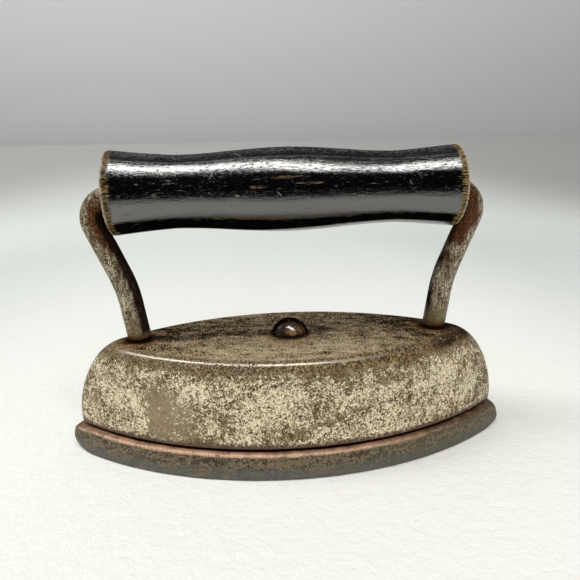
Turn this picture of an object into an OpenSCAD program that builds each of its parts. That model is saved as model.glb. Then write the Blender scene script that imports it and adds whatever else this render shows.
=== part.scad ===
// Toy flat iron with a lift-off hood: a cast core, a sheet hood over it, and a turned grip that is
// free on a bent rod. Millimetres, +X along the iron, +Z up, origin on the floor under its middle.

/* [Sole core] */
// Length of the sole, tip to tip
sole_l = 96; // [94:0.5:104]
// Width of the sole
sole_w = 38; // [37.5:0.5:42]
// Radius of the sole's two tips, seen from above
sole_tip_r = 2; // [1:0.5:4]
// Thickness of the flange round the sole
sole_t = 5.3; // [4.4:0.1:7]
// Radius of the flange's upper edge
ledge_round = 1; // [0.6:0.1:1.2]
// How far the flange's side leans in over its height
sole_draft = 0.4; // [0.1:0.1:0.8]
// Radius of the ground lower edge
sole_round = 0.5; // [0.2:0.1:1]
// Height of the raised body above the flange
slug_h = 12; // [10:0.1:12.8]
// How far the raised body's side leans in over its height
slug_draft = 2.2; // [1:0.1:4]
// Radius of the raised body's tips, seen from above
slug_tip_r = 3; // [2:0.5:5]
// Radius of the raised body's upper edge
slug_round = 1.6; // [0.6:0.1:2]
// Room between the raised body's foot and the inside of the hood
slug_gap = 1.2; // [0.6:0.1:2]
// Radius of the pocket in the raised body, round the catch post
pocket_r = 7.5; // [6.5:0.1:8.5]
// Depth of the pocket
pocket_deep = 4.2; // [3.8:0.1:5]

/* [Hood] */
// Length of the hood where it is widest
hood_l = 91.2; // [88:0.2:92]
// Width of the hood near its rim
hood_w = 35.6; // [33:0.2:36]
// How much wider the hood is at the top of its walls
hood_flare = 0.6; // [0:0.2:2]
// Radius of the hood's tips at the rim, seen from above
hood_tip_r = 2; // [2:0.1:3]
// Radius of the tips of the flat top
top_tip_r = 3; // [2.8:0.1:4]
// Height of the hood, rim to top
hood_h = 17.8; // [17.4:0.1:19.4]
// Thickness of the sheet
sheet_t = 0.8; // [0.5:0.1:1]
// Radius of the bend along the sides
side_round = 2.6; // [2:0.1:3]
// How far the round ends come in over the hood's height
end_round = 10.4; // [8:0.2:10.6]
// How far the rim is tucked in below the widest place
rim_tuck = 0.35; // [0:0.05:0.6]
// Height of the tucked rim
tuck_h = 2.4; // [1:0.1:3]
// Gap between the rim and the ledge, the dark seam
seam_gap = 0.5; // [0.2:0.05:0.6]

/* [Lining] */
// Thickness of the insulating board
board_t = 2; // [1.4:0.1:2.2]
// Thickness of the liner plate
liner_t = 0.8; // [0.5:0.1:1]
// Gap between the lining's edge and the hood
lining_gap = 0.3; // [0.2:0.05:0.6]

/* [Rivet] */
// Radius of the round head
head_r = 4; // [3:0.1:5]
// Height of the round head
head_h = 3.2; // [2:0.1:3.6]
// Radius of the shank
shank_r = 1.5; // [1:0.1:2]
// Radius of the peened tail
tail_r = 2.5; // [2.2:0.1:3]
// Height of the peened tail
tail_h = 0.9; // [0.5:0.1:1.1]

/* [Catch] */
// Width of the catch post along the iron
post_w = 5; // [4.2:0.2:6]
// Width of the catch post across the iron
post_d = 7; // [5:0.2:8]
// Height of the catch post above the pocket's floor
post_h = 4.1; // [3.2:0.1:4.4]
// Chamfer along the post's top
post_chamfer = 0.6; // [0.3:0.1:1]
// Radius of the peg under the post
peg_r = 2; // [1.5:0.1:2.1]
// Length of the peg
peg_l = 5; // [3:0.5:7]
// Thickness of the spring strip
strip_t = 0.6; // [0.4:0.05:0.8]
// Width of the spring strip
strip_w = 6; // [5.2:0.2:8]
// How far the clip's legs spread from the post at their upper bends
leg_spread = 1.1; // [0.6:0.1:1.6]
// Height above the pocket's floor at which the legs press on the post
grip_h = 2.1; // [1.6:0.1:2.4]
// How far each bend in the strip is rounded off
strip_ease = 0.6; // [0.3:0.1:0.7]
// Clearance between the clip's legs and the post
leg_clear = 0.05; // [0.02:0.01:0.1]
// Clearance between the legs' ends and the pocket's floor
floor_clear = 0.5; // [0.3:0.1:0.8]

/* [Handle] */
// Height of the grip's axis above the floor
axis_z = 53.95; // [51:0.05:58]
// Radius of the handle rod
rod_r = 2.4; // [2.2:0.05:2.5]
// How far the rod's middle rises above where it leaves the grip
bow_rise = 1.4; // [0.6:0.1:2.4]
// Radius of the tight bends beside the grip, at the rod's middle
crook_r = 4.2; // [3.8:0.1:5.5]
// How far the lower part of a leg leans, in degrees
lower_lean = 8.5; // [6:0.5:10]
// Distance from the iron's middle to the easy bend in each leg
knee_x = 33.4; // [32.5:0.1:34]
// Height of that easy bend above the hood's top
knee_up = 11.1; // [10.2:0.1:12]
// Radius of that easy bend
knee_r = 26; // [18:1:32]
// How much thinner the rod is where it is bent
bend_thin = 0.02; // [0.01:0.005:0.03]
// How far each bend laps into the straight stretches beside it
bend_lap = 0.2; // [0.1:0.05:0.25]
// Radius of the shouldered feet
tenon_r = 1.6; // [1.2:0.1:1.8]
// Radius of the peened ends of the feet
peen_r = 2.7; // [2.2:0.1:3]
// Height of the peened ends of the feet
peen_h = 1.1; // [0.6:0.1:1.2]

/* [Grip] */
// Length of the grip
grip_l = 70; // [68:0.5:72]
// Radius of the grip's ends
grip_end_r = 8.4; // [7.6:0.1:9]
// Radius of the grip's middle
grip_mid_r = 8.4; // [7.6:0.05:9]
// Radius of the grip's necks
neck_r = 7.25; // [6.5:0.05:7.5]
// Distance from the grip's middle to each neck
neck_x = 22; // [18:0.5:25]
// Radius of the worn end rims
rim_round = 0.5; // [0.3:0.1:1.6]
// Clearance between the bowed rod and the grip's bore
bore_clear = 0.08; // [0.03:0.01:0.1]
// Gap between the grip's ends and the start of the rod's bends
end_play = 0.15; // [0.1:0.05:0.5]
// Chamfer at the bore's mouths
mouth_chamfer = 0.5; // [0.2:0.1:1]

/* [Clearances] */
// Clearance round the rivet and the feet in their holes
hole_clear = 0.1; // [0.05:0.01:0.15]
// Interference of the pressed-in post
press = 0.01; // [0.005:0.005:0.02]
// How far cuts run past what they cut
over = 0.4; // [0.2:0.1:0.6]

/* [Hidden] */

// Steps along the curves.
round_fn = 96;
side_steps = 28;
tip_steps = 8;
edge_steps = 4;
bend_steps = 6;
wall_steps = 5;
ease_steps = 4;
neck_steps = 16;
flare_steps = 8;

// Shapes as shares of what carries them.
flare_power = 1.3;
peened_flat_share = 0.7;
leg_kick_share = 0.6;

// Levels, from the floor up.
slug_top = sole_t + slug_h;
pocket_z = slug_top - pocket_deep;
rim_z = sole_t + seam_gap;
hood_top = rim_z + hood_h;
board_top = hood_top - sheet_t;
board_z = board_top - board_t;
liner_z = board_z - liner_t;
clip_z = liner_z - strip_t;

// The raised body of the core stays inside the hood's rim.
slug_inset = rim_tuck + sheet_t + slug_gap;
slug_l = hood_l - 2 * slug_inset;
slug_w = hood_w - 2 * slug_inset;

// The clip's bends, at the middle of the strip.
leg_x = post_w / 2 + leg_clear + strip_t / 2;
leg_top_x = leg_x + leg_spread;
leg_foot_x = leg_x + leg_spread * leg_kick_share;
clip_path = [
    [-leg_foot_x, pocket_z + floor_clear],
    [-leg_x, pocket_z + grip_h],
    [-leg_top_x, clip_z + strip_t / 2],
    [leg_top_x, clip_z + strip_t / 2],
    [leg_x, pocket_z + grip_h],
    [leg_foot_x, pocket_z + floor_clear]
];

// The rod is bowed a little inside the grip, so it leaves it lower than it is in its middle.
bow_half = grip_l / 2 + end_play;
bow_r = (bow_half * bow_half + bow_rise * bow_rise) / (2 * bow_rise);
bow_lean = asin(bow_half / bow_r);
bow_z = axis_z + bow_rise / 2 - bow_r;

// Where the rod's straight and bent stretches meet, at the rod's middle. The upper part of a leg
// leans as it must to run from the easy bend to the tight one.
crook_x = (bow_r - crook_r) * sin(bow_lean);
crook_z = bow_z + (bow_r - crook_r) * cos(bow_lean);
knee_z = hood_top + knee_up;
crook_way = [crook_x - knee_x, crook_z - knee_z];
upper_lean = atan2(crook_way.x, crook_way.y) + asin(crook_r / norm(crook_way));
upper_x = crook_x + crook_r * cos(upper_lean);
upper_z = crook_z - crook_r * sin(upper_lean);
knee_turn = upper_lean - lower_lean;
knee_reach = knee_r * tan(knee_turn / 2);
upper_len = norm([upper_x - knee_x, upper_z - knee_z]) - knee_reach;
lower_x = knee_x - knee_reach * sin(lower_lean);
lower_z = knee_z - knee_reach * cos(lower_lean);
foot_x = lower_x - (lower_z - hood_top) * tan(lower_lean);

// A pointed oval of two long arcs and two tip arcs, at height z.
function lens(half_l, half_w, tip_r, z) =
    let (
        tip_x = half_l - tip_r,
        side_r = (tip_x * tip_x + half_w * half_w - tip_r * tip_r) / (2 * (half_w - tip_r)),
        half_turn = asin(tip_x / (side_r - tip_r)),
        tip = [for (i = [0:tip_steps]) let (a = (90 - half_turn) * (2 * i / tip_steps - 1))
            [tip_x + tip_r * cos(a), tip_r * sin(a), z]],
        side = [for (i = [1:side_steps - 1]) let (a = half_turn * (1 - 2 * i / side_steps))
            [side_r * sin(a), side_r * cos(a) - side_r + half_w, z]]
    )
    concat(tip, side, -1 * [for (p = concat(tip, side)) [p.x, p.y, -z]]);

// How far a quarter of an ellipse has come in at share s of its height.
function come_in(s) = 1 - sqrt(max(0, 1 - s * s));

// The hood's outline at height z, drawn in by inset, under a ceiling at height top.
function hood_ring(inset, top, z) =
    let (
        up = max(0, z - rim_z) / (top - rim_z),
        tuck = rim_tuck * pow(max(0, 1 - max(0, z - rim_z) / tuck_h), 2) + inset,
        bend = side_round - inset,
        side = bend * come_in(max(0, (z - top) / bend + 1))
    )
    lens(
        hood_l / 2 - tuck - end_round * come_in(up),
        hood_w / 2 + up * hood_flare / 2 - tuck - side,
        hood_tip_r + up * (top_tip_r - hood_tip_r) - inset,
        z
    );

// The hood's whole surface, from height low to the ceiling.
function hood_rings(inset, top, low) =
    let (bend = side_round - inset, wall_top = top - bend, wall_h = wall_top - rim_z - tuck_h)
    concat(
        [hood_ring(inset, top, low)],
        [for (k = [1:2]) hood_ring(inset, top, rim_z + tuck_h * k / 2)],
        [for (k = [1:wall_steps]) hood_ring(inset, top, rim_z + tuck_h + wall_h * k / wall_steps)],
        [for (k = [1:bend_steps]) hood_ring(inset, top, wall_top + bend * sin(90 * k / bend_steps))]
    );

// A path with each of its corners rounded off over the given length.
function eased(path, ease) = [
    for (i = [0:len(path) - 1])
        let (p = path[i], last = len(path) - 1)
        each (i == 0 || i == last) ? [p] : [
            for (k = [0:ease_steps])
                let (
                    s = k / ease_steps,
                    a = p + ease * (path[i - 1] - p) / norm(path[i - 1] - p),
                    b = p + ease * (path[i + 1] - p) / norm(path[i + 1] - p)
                )
                (1 - s) * (1 - s) * a + 2 * s * (1 - s) * p + s * s * b
        ]
];

// One long edge of a strip that runs along a path, d to its left.
function strip_edge(path, d) = [
    for (i = [0:len(path) - 1])
        let (
            before = path[i] - path[max(0, i - 1)],
            after = path[min(len(path) - 1, i + 1)] - path[i],
            u = (i == 0) ? after / norm(after) : before / norm(before),
            v = (i == len(path) - 1) ? u : after / norm(after),
            way = (u + v) / norm(u + v)
        )
        path[i] + d * [-way.y, way.x] / (u * way)
];

// The grip's radius at x.
function grip_radius(x) =
    abs(x) < neck_x
    ? neck_r + (grip_mid_r - neck_r) * (1 + cos(180 * x / neck_x)) / 2
    : neck_r + (grip_end_r - neck_r) * pow((abs(x) - neck_x) / (grip_l / 2 - neck_x), flare_power);

// A closed solid through rings of equally many points, from the lowest to the highest.
module loft(rings) {
    n = len(rings[0]);
    last = len(rings) - 1;
    polyhedron(
        points = [for (ring = rings) each ring],
        faces = concat(
            [[for (i = [0:n - 1]) i]],
            [for (k = [0:last - 1]) for (i = [0:n - 1]) let (j = (i + 1) % n, m = k * n)
                each [[m + i, m + n + i, m + j], [m + j, m + n + i, m + n + j]]],
            [[for (i = [n - 1:-1:0]) last * n + i]]
        )
    );
}

// The holes that the rivet and the two feet pass through, from one height to another.
module fixing_holes(low, high) {
    translate([0, 0, low - over])
        cylinder(h = high - low + 2 * over, r = shank_r + hole_clear, $fn = round_fn);
    for (side = [-1, 1])
        translate([side * foot_x, 0, low - over])
            cylinder(h = high - low + 2 * over, r = tenon_r + hole_clear, $fn = round_fn);
}

// Part of a bent rod: an arc in the upright plane, centred at [x, z], between two angles. Where it
// laps into a stretch beside it, it is a little thinner than that stretch.
module rod_arc(x, z, r, from, turn, reach = bend_lap, thin = bend_thin) {
    lap = 180 * reach / (PI * r);
    translate([x, 0, z])
        rotate([90, 0, 0])
            rotate([0, 0, from - lap])
                rotate_extrude(angle = turn + 2 * lap, $fn = round_fn)
                    translate([r, 0])
                        circle(r = rod_r - thin, $fn = round_fn);
}

module sole_core() {
    side_z = sole_t - ledge_round;
    edge_z = slug_top - slug_round;
    slug_in = slug_draft * (1 - slug_round / slug_h);
    function sole(inset, z) = lens(sole_l / 2 - inset, sole_w / 2 - inset, sole_tip_r, z);
    function slug(inset, z) = lens(slug_l / 2 - inset, slug_w / 2 - inset, slug_tip_r, z);
    color([0.24, 0.21, 0.19])
    difference() {
        loft(concat(
            [for (k = [0:edge_steps]) let (a = 90 * k / edge_steps)
                sole(sole_round * (1 - sin(a)), sole_round * (1 - cos(a)))],
            [for (k = [0:edge_steps]) let (a = 90 * k / edge_steps)
                sole(sole_draft + ledge_round * (1 - cos(a)), side_z + ledge_round * sin(a))],
            [slug(0, sole_t)],
            [for (k = [0:edge_steps]) let (a = 90 * k / edge_steps)
                slug(slug_in + slug_round * (1 - cos(a)), edge_z + slug_round * sin(a))]
        ));
        translate([0, 0, pocket_z])
            cylinder(h = pocket_deep + over, r = pocket_r, $fn = round_fn);
        translate([0, 0, pocket_z - peg_l])
            cylinder(h = peg_l + over, r = peg_r, $fn = round_fn);
    }
}

module catch_post() {
    x = post_w / 2;
    top = pocket_z + post_h;
    color([0.5, 0.48, 0.45]) {
        rotate([90, 0, 0])
            linear_extrude(height = post_d, center = true)
                polygon([[-x, pocket_z], [x, pocket_z], [x, top - post_chamfer],
                         [x - post_chamfer, top], [post_chamfer - x, top], [-x, top - post_chamfer]]);
        translate([0, 0, pocket_z - peg_l])
            cylinder(h = peg_l + over, r = peg_r + press, $fn = round_fn);
    }
}

module hood_shell() {
    color([0.62, 0.57, 0.47])
    difference() {
        loft(hood_rings(0, hood_top, rim_z));
        loft(hood_rings(sheet_t, board_top, rim_z - over));
        fixing_holes(board_top, hood_top);
    }
}

module insulating_board() {
    color([0.78, 0.76, 0.7])
    difference() {
        loft([for (k = [0:edge_steps])
            hood_ring(sheet_t + lining_gap, board_top, board_z + board_t * sin(90 * k / edge_steps))]);
        fixing_holes(board_z, board_top);
    }
}

module liner_plate() {
    color([0.55, 0.53, 0.5])
    difference() {
        translate([0, 0, liner_z])
            linear_extrude(height = liner_t)
                polygon([for (p = hood_ring(sheet_t + lining_gap, board_top, board_z)) [p.x, p.y]]);
        fixing_holes(liner_z, board_z);
    }
}

module spring_clip() {
    path = eased(clip_path, strip_ease);
    near_edge = strip_edge(path, strip_t / 2);
    far_edge = strip_edge(path, -strip_t / 2);
    color([0.4, 0.42, 0.45])
    difference() {
        rotate([90, 0, 0])
            linear_extrude(height = strip_w, center = true)
                polygon(concat(near_edge, [for (i = [len(path) - 1:-1:0]) far_edge[i]]));
        translate([0, 0, clip_z - over])
            cylinder(h = strip_t + 2 * over, r = shank_r + hole_clear, $fn = round_fn);
    }
}

module hood_rivet() {
    dome_r = (head_r * head_r + head_h * head_h) / (2 * head_h);
    color([0.27, 0.2, 0.16]) {
        intersection() {
            translate([0, 0, hood_top + head_h - dome_r])
                sphere(r = dome_r, $fn = round_fn);
            translate([0, 0, hood_top])
                cylinder(h = head_h + over, r = dome_r + over, $fn = round_fn);
        }
        translate([0, 0, clip_z])
            cylinder(h = hood_top - clip_z + over, r = shank_r, $fn = round_fn);
        translate([0, 0, clip_z - tail_h])
            cylinder(h = tail_h, r1 = tail_r * peened_flat_share, r2 = tail_r, $fn = round_fn);
    }
}

module handle_rod() {
    knee_c = [lower_x + knee_r * cos(lower_lean), lower_z - knee_r * sin(lower_lean)];
    lower_len = (lower_z - hood_top) / cos(lower_lean);
    color([0.55, 0.49, 0.42]) {
        rod_arc(0, bow_z, bow_r, 90 - bow_lean, 2 * bow_lean, 0, 0);
        for (turn = [0, 180])
            rotate([0, 0, turn]) {
                rod_arc(crook_x, crook_z, crook_r, -upper_lean, 90 - bow_lean + upper_lean);
                translate([upper_x, 0, upper_z])
                    rotate([0, 180 + upper_lean, 0])
                        cylinder(h = upper_len, r = rod_r, $fn = round_fn);
                rod_arc(knee_c.x, knee_c.y, knee_r, 180 - upper_lean, knee_turn);
                difference() {
                    translate([lower_x, 0, lower_z])
                        rotate([0, 180 + lower_lean, 0])
                            cylinder(h = lower_len + rod_r, r = rod_r, $fn = round_fn);
                    translate([foot_x - 2 * rod_r, -2 * rod_r, hood_top - 2 * rod_r])
                        cube([4 * rod_r, 4 * rod_r, 2 * rod_r]);
                }
                translate([foot_x, 0, liner_z])
                    cylinder(h = hood_top - liner_z + over, r = tenon_r, $fn = round_fn);
                translate([foot_x, 0, liner_z - peen_h])
                    cylinder(h = peen_h, r1 = peen_r * peened_flat_share, r2 = peen_r, $fn = round_fn);
            }
    }
}

module wood_grip() {
    end_x = grip_l / 2;
    bore_r = rod_r + bow_rise / 2 + bore_clear;
    rim_r = grip_radius(end_x - rim_round) - rim_round;
    right_half = concat(
        [for (k = [0:neck_steps]) neck_x * k / neck_steps],
        [for (k = [1:flare_steps]) neck_x + (end_x - rim_round - neck_x) * k / flare_steps]
    );
    right_side = [for (x = right_half) [grip_radius(x), x]];
    right_rim = [for (k = [1:edge_steps]) let (a = 90 * k / edge_steps)
        [rim_r + rim_round * cos(a), end_x - rim_round + rim_round * sin(a)]];
    right_mouth = [[bore_r + mouth_chamfer, end_x], [bore_r, end_x - mouth_chamfer]];
    half = concat(right_side, right_rim, right_mouth);
    color([0.07, 0.065, 0.06])
    translate([0, 0, axis_z])
        rotate([0, 90, 0])
            rotate_extrude($fn = round_fn)
                polygon(concat(half, [for (i = [len(half) - 1:-1:1]) [half[i].x, -half[i].y]]));
}

sole_core();
catch_post();
hood_shell();
insulating_board();
liner_plate();
spring_clip();
hood_rivet();
handle_rod();
wood_grip();
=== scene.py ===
from functools import reduce
from math import asin, atan2, cos, pi, radians, sin, sqrt, tan

import bmesh
import bpy
import numpy as np
from mathutils import Matrix, Vector, noise
from mathutils.geometry import delaunay_2d_cdt


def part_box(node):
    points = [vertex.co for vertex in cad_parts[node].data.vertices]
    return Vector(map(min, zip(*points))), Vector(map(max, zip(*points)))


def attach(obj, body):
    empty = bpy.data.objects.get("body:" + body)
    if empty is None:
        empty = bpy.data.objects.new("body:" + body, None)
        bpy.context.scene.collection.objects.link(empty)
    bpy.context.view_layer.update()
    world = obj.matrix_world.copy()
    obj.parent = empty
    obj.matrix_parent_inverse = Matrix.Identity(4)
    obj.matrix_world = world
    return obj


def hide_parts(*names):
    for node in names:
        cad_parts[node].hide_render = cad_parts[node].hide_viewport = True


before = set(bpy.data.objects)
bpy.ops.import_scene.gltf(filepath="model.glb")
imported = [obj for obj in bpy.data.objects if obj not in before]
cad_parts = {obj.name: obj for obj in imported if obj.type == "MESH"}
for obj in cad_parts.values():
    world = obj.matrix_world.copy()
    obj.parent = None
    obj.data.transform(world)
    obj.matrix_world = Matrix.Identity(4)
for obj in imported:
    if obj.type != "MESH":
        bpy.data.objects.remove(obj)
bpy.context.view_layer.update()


# The sole core, the heavy part that does the ironing. It is an iron casting, pointed at both ends,
# with a low flange all round and a raised body inside the hood. Its sole is ground flat, and the
# pocket in its top is drilled out for the catch post.
mm = 0.001
core_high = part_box("sole_core")[1]
core_half_l = core_high.x
core_half_w = core_high.y
core_tip_r = 2 * mm
core_draft = 0.4 * mm
sole_edge_r = 0.5 * mm
ledge_z = 5.3 * mm
ledge_edge_r = 1 * mm
body_half_l = 43.25 * mm
body_half_w = 15.45 * mm
body_tip_r = 3 * mm
body_top = core_high.z
body_draft = 2.2 * mm
body_edge_r = 1.6 * mm
pocket_r = 7.5 * mm
pocket_z = body_top - 4.2 * mm
bore_r = 2 * mm
bore_depth = 5 * mm
hair = 0.1 * mm
tip_steps = 12
side_steps = 200


def spread(first, last, steps):
    """Evenly spaced values from the first to the last."""
    return [first + (last - first) * i / steps for i in range(steps + 1)]


def pointed_oval(half_l, half_w, tip_r, z):
    """A level ring of points along two long arcs and two small tip arcs."""
    tip_x = half_l - tip_r
    side_r = (tip_x ** 2 + half_w ** 2 - tip_r ** 2) / (2 * (half_w - tip_r))
    half_turn = asin(tip_x / (side_r - tip_r))
    tip_turn = pi / 2 - half_turn
    half = [(tip_x + tip_r * cos(a), tip_r * sin(a)) for a in spread(-tip_turn, tip_turn, tip_steps)]
    half += [
        (side_r * sin(a), side_r * cos(a) - side_r + half_w)
        for a in spread(half_turn, -half_turn, side_steps)[1:-1]
    ]
    return [Vector((x, y, z)) for x, y in half] + [Vector((-x, -y, z)) for x, y in half]


def round_ring(x, r, z, steps=64):
    """A level circle of points about a place on the iron's long axis."""
    return [Vector((x + r * cos(a), r * sin(a), z)) for a in spread(0, 2 * pi, steps)[:-1]]


def part_way(ring, other, share):
    """A ring between two others."""
    return [a.lerp(b, share) for a, b in zip(ring, other)]


def lay_walls(bm, rings, coat=0, closed=False):
    """Joins rings of equally many points with strips of faces."""
    rows = [[bm.verts.new(p) for p in ring] for ring in rings]
    pairs = list(zip(rows, rows[1:])) + ([(rows[-1], rows[0])] if closed else [])
    for low, high in pairs:
        for i, corner in enumerate(low):
            j = (i + 1) % len(low)
            face = bm.faces.new((corner, low[j], high[j], high[i]))
            face.material_index = coat


def lay_plate(bm, outline, holes=(), grain=1.2 * mm, coat=0):
    """Fills a flat convex ring with small triangles, and leaves round holes in it open."""
    loops = [[p.to_2d() for p in ring] for ring in (outline, *holes)]
    corners = [p for loop in loops for p in loop]
    edges, start = [], 0
    for loop in loops:
        edges += [(start + i, start + (i + 1) % len(loop)) for i in range(len(loop))]
        start += len(loop)
    rim = np.array(loops[0])
    along = np.roll(rim, -1, 0) - rim
    along /= np.linalg.norm(along, axis=1)[:, None]
    low, high = rim.min(0), rim.max(0)
    columns, rows = [np.arange(first, last, grain) for first, last in zip(low, high)]
    grid = np.stack(np.meshgrid(columns, rows), -1).reshape(-1, 2)
    gap = along[:, 0] * (grid[:, 1:] - rim[:, 1]) - along[:, 1] * (grid[:, :1] - rim[:, 0])
    kept = gap.min(1) > grain / 2
    wells = [(np.mean(loop, 0), np.linalg.norm(np.array(loop[0]) - np.mean(loop, 0))) for loop in loops[1:]]
    for middle, r in wells:
        kept &= np.linalg.norm(grid - middle, axis=1) > r + grain / 2
    corners += [Vector(p) for p in grid[kept]]
    points, _, triangles = delaunay_2d_cdt(corners, edges, [], 0, 1e-9)[:3]
    verts = [bm.verts.new((p.x, p.y, outline[0].z)) for p in points]
    for triangle in triangles:
        middle = np.mean([points[i] for i in triangle], 0)
        if all(np.linalg.norm(middle - well) > r * cos(pi / 64) for well, r in wells):
            bm.faces.new([verts[i] for i in triangle]).material_index = coat


def weather(bm, depth, size, where=lambda p: 1.0):
    """Sinks the skin by up to depth, in hollows of about the given size along X, Y and Z."""
    bm.normal_update()
    moves = []
    for v in bm.verts:
        spot = Vector([c / s for c, s in zip(v.co, size)])
        sunk = min(1, max(0, 0.5 + 0.6 * noise.fractal(spot, 0.9, 2.1, 4)))
        moves.append(v.normal * (-depth * sunk * where(v.co)))
    for v, move in zip(bm.verts, moves):
        v.co += move


def weld(bm):
    """Joins the faces of a piece into one closed skin, with its outside outwards."""
    bmesh.ops.remove_doubles(bm, verts=bm.verts[:], dist=0.001 * mm)
    bmesh.ops.recalc_face_normals(bm, faces=bm.faces[:])


def make_piece(bm, name, crease, *finishes):
    """Turns a mesh into a named piece whose edges show where they are sharper than the crease."""
    mesh = bpy.data.meshes.new(name)
    bm.to_mesh(mesh)
    bm.free()
    for finish in finishes:
        mesh.materials.append(finish)
    mesh.polygons.foreach_set("use_smooth", [True] * len(mesh.polygons))
    mesh.set_sharp_from_angle(angle=radians(crease))
    piece = bpy.data.objects.new(name, mesh)
    bpy.context.scene.collection.objects.link(piece)
    return piece


class Pattern:
    """A value that changes over a surface. Patterns are added and multiplied like numbers."""

    def __init__(self, finish, socket):
        self.finish = finish
        self.socket = socket

    def __add__(self, other):
        return self.finish.sum("ADD", self, other)

    def __sub__(self, other):
        return self.finish.sum("SUBTRACT", self, other)

    def __rsub__(self, other):
        return self.finish.sum("SUBTRACT", other, self)

    def __mul__(self, other):
        return self.finish.sum("MULTIPLY", self, other)

    def step(self, low, high):
        """0 where the pattern is at low, 1 where it is at high, and a soft step between."""
        sockets = {"Value": self, "From Min": low, "From Max": high}
        return self.finish.pattern("MapRange", sockets, interpolation_type="SMOOTHSTEP")

    def level(self, a, b):
        """Value a where the pattern is 0, turning into value b where it is 1."""
        return self.finish.pattern("MapRange", {"Value": self, "To Min": a, "To Max": b})

    def ragged(self, other, by):
        """Moved up and down by another pattern, so that a step over it gets a ragged edge."""
        return self + other.level(-by, by)


class Finish:
    """A surface finish built up from layers of pattern. Its sizes are in millimetres."""

    def __init__(self, name):
        self.material = bpy.data.materials.new(name)
        self.material.use_nodes = True
        self.tree = self.material.node_tree
        self.shader = self.tree.nodes["Principled BSDF"]
        coords = self.add("TexCoord", {})
        self.place = self.add(
            "VectorMath", {"Vector": coords.outputs["Object"], "Scale": 1 / mm}, operation="SCALE"
        ).outputs[0]
        self.x, self.y, self.z = self.parts(self.place)
        self.nx, self.ny, self.nz = self.parts(coords.outputs["Normal"])

    def add(self, kind, sockets, **settings):
        """One node, with its settings made and its sockets filled or linked."""
        node = self.tree.nodes.new("ShaderNode" + kind)
        for key, value in settings.items():
            setattr(node, key, value)
        for key, value in sockets.items():
            self.feed(node.inputs[key], value)
        return node

    def pattern(self, kind, sockets, output=0, **settings):
        """The pattern that comes out of one node."""
        return Pattern(self, self.add(kind, sockets, **settings).outputs[output])

    def feed(self, socket, value):
        """Links a pattern to a socket, or sets a plain value there."""
        if isinstance(value, Pattern):
            value = value.socket
        if isinstance(value, bpy.types.NodeSocket):
            self.tree.links.new(value, socket)
        elif socket.type == "RGBA":
            socket.default_value = (*value, 1)
        else:
            socket.default_value = value

    def parts(self, vector):
        """The X, Y and Z of a vector."""
        return [Pattern(self, part) for part in self.add("SeparateXYZ", {"Vector": vector}).outputs]

    def length(self, vector):
        """How long a vector is."""
        return self.pattern("VectorMath", {"Vector": vector}, 1, operation="LENGTH")

    def sum(self, kind, a, b=0.0):
        """Arithmetic on one or two values."""
        return self.pattern("Math", {0: a, 1: b}, operation=kind)

    def most(self, *values):
        """The greatest of two values or more."""
        return reduce(lambda a, b: self.sum("MAXIMUM", a, b), values)

    def clouds(self, size, detail=3, rough=0.6, stretch=(1, 1, 1), warp=0.0, shift=0.0):
        """Soft blotches of about the given size, from 0 to 1."""
        spot = self.add("Mapping", {
            "Vector": self.place,
            "Location": (shift, shift, shift),
            "Scale": [1 / (size * s) for s in stretch],
        }).outputs[0]
        return self.pattern("TexNoise", {
            "Vector": spot, "Scale": 1, "Detail": detail, "Roughness": rough, "Distortion": warp,
        })

    def blend(self, share, a, b):
        """Colour a, turning into colour b as the share goes from 0 to 1."""
        node = self.add("Mix", {0: share}, data_type="RGBA")
        self.feed(node.inputs[6], a)
        self.feed(node.inputs[7], b)
        return node.outputs[2]

    def coats(self, colour, *further):
        """The colour, under further coats that are each given as a share and a colour."""
        for share, over in further:
            colour = self.blend(share, colour, over)
        return colour

    def stain(self, pattern, low, high, a, b):
        """Colour a, turning into colour b where the pattern goes from low to high."""
        return self.blend(pattern.step(low, high), a, b)

    def near(self, middle, reach, inner=0.0):
        """1 at a place, falling to 0 as far off as its reach along each axis."""
        gap = self.add("Mapping", {
            "Vector": self.place,
            "Location": [-m / r for m, r in zip(middle, reach)],
            "Scale": [1 / r for r in reach],
        }).outputs[0]
        return self.length(gap).step(1, inner)

    def lay(self, colour, roughness, height, depth, **others):
        """Lays the finish on the shader, with height worked into the surface to the given depth."""
        bump = self.add("Bump", {"Height": height, "Distance": depth * mm, "Strength": 1})
        self.feed(self.shader.inputs["Base Color"], colour)
        self.feed(self.shader.inputs["Roughness"], roughness)
        self.feed(self.shader.inputs["Normal"], bump.outputs[0])
        for key, value in others.items():
            self.feed(self.shader.inputs[key.replace("_", " ")], value)
        return self.material


def core_ring(inset, z):
    """The flange's outline at height z, drawn in by inset."""
    return pointed_oval(core_half_l - inset, core_half_w - inset, core_tip_r, z)


def body_ring(inset, z):
    """The body's outline at height z, drawn in by inset."""
    return pointed_oval(body_half_l - inset, body_half_w - inset, body_tip_r, z)


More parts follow.
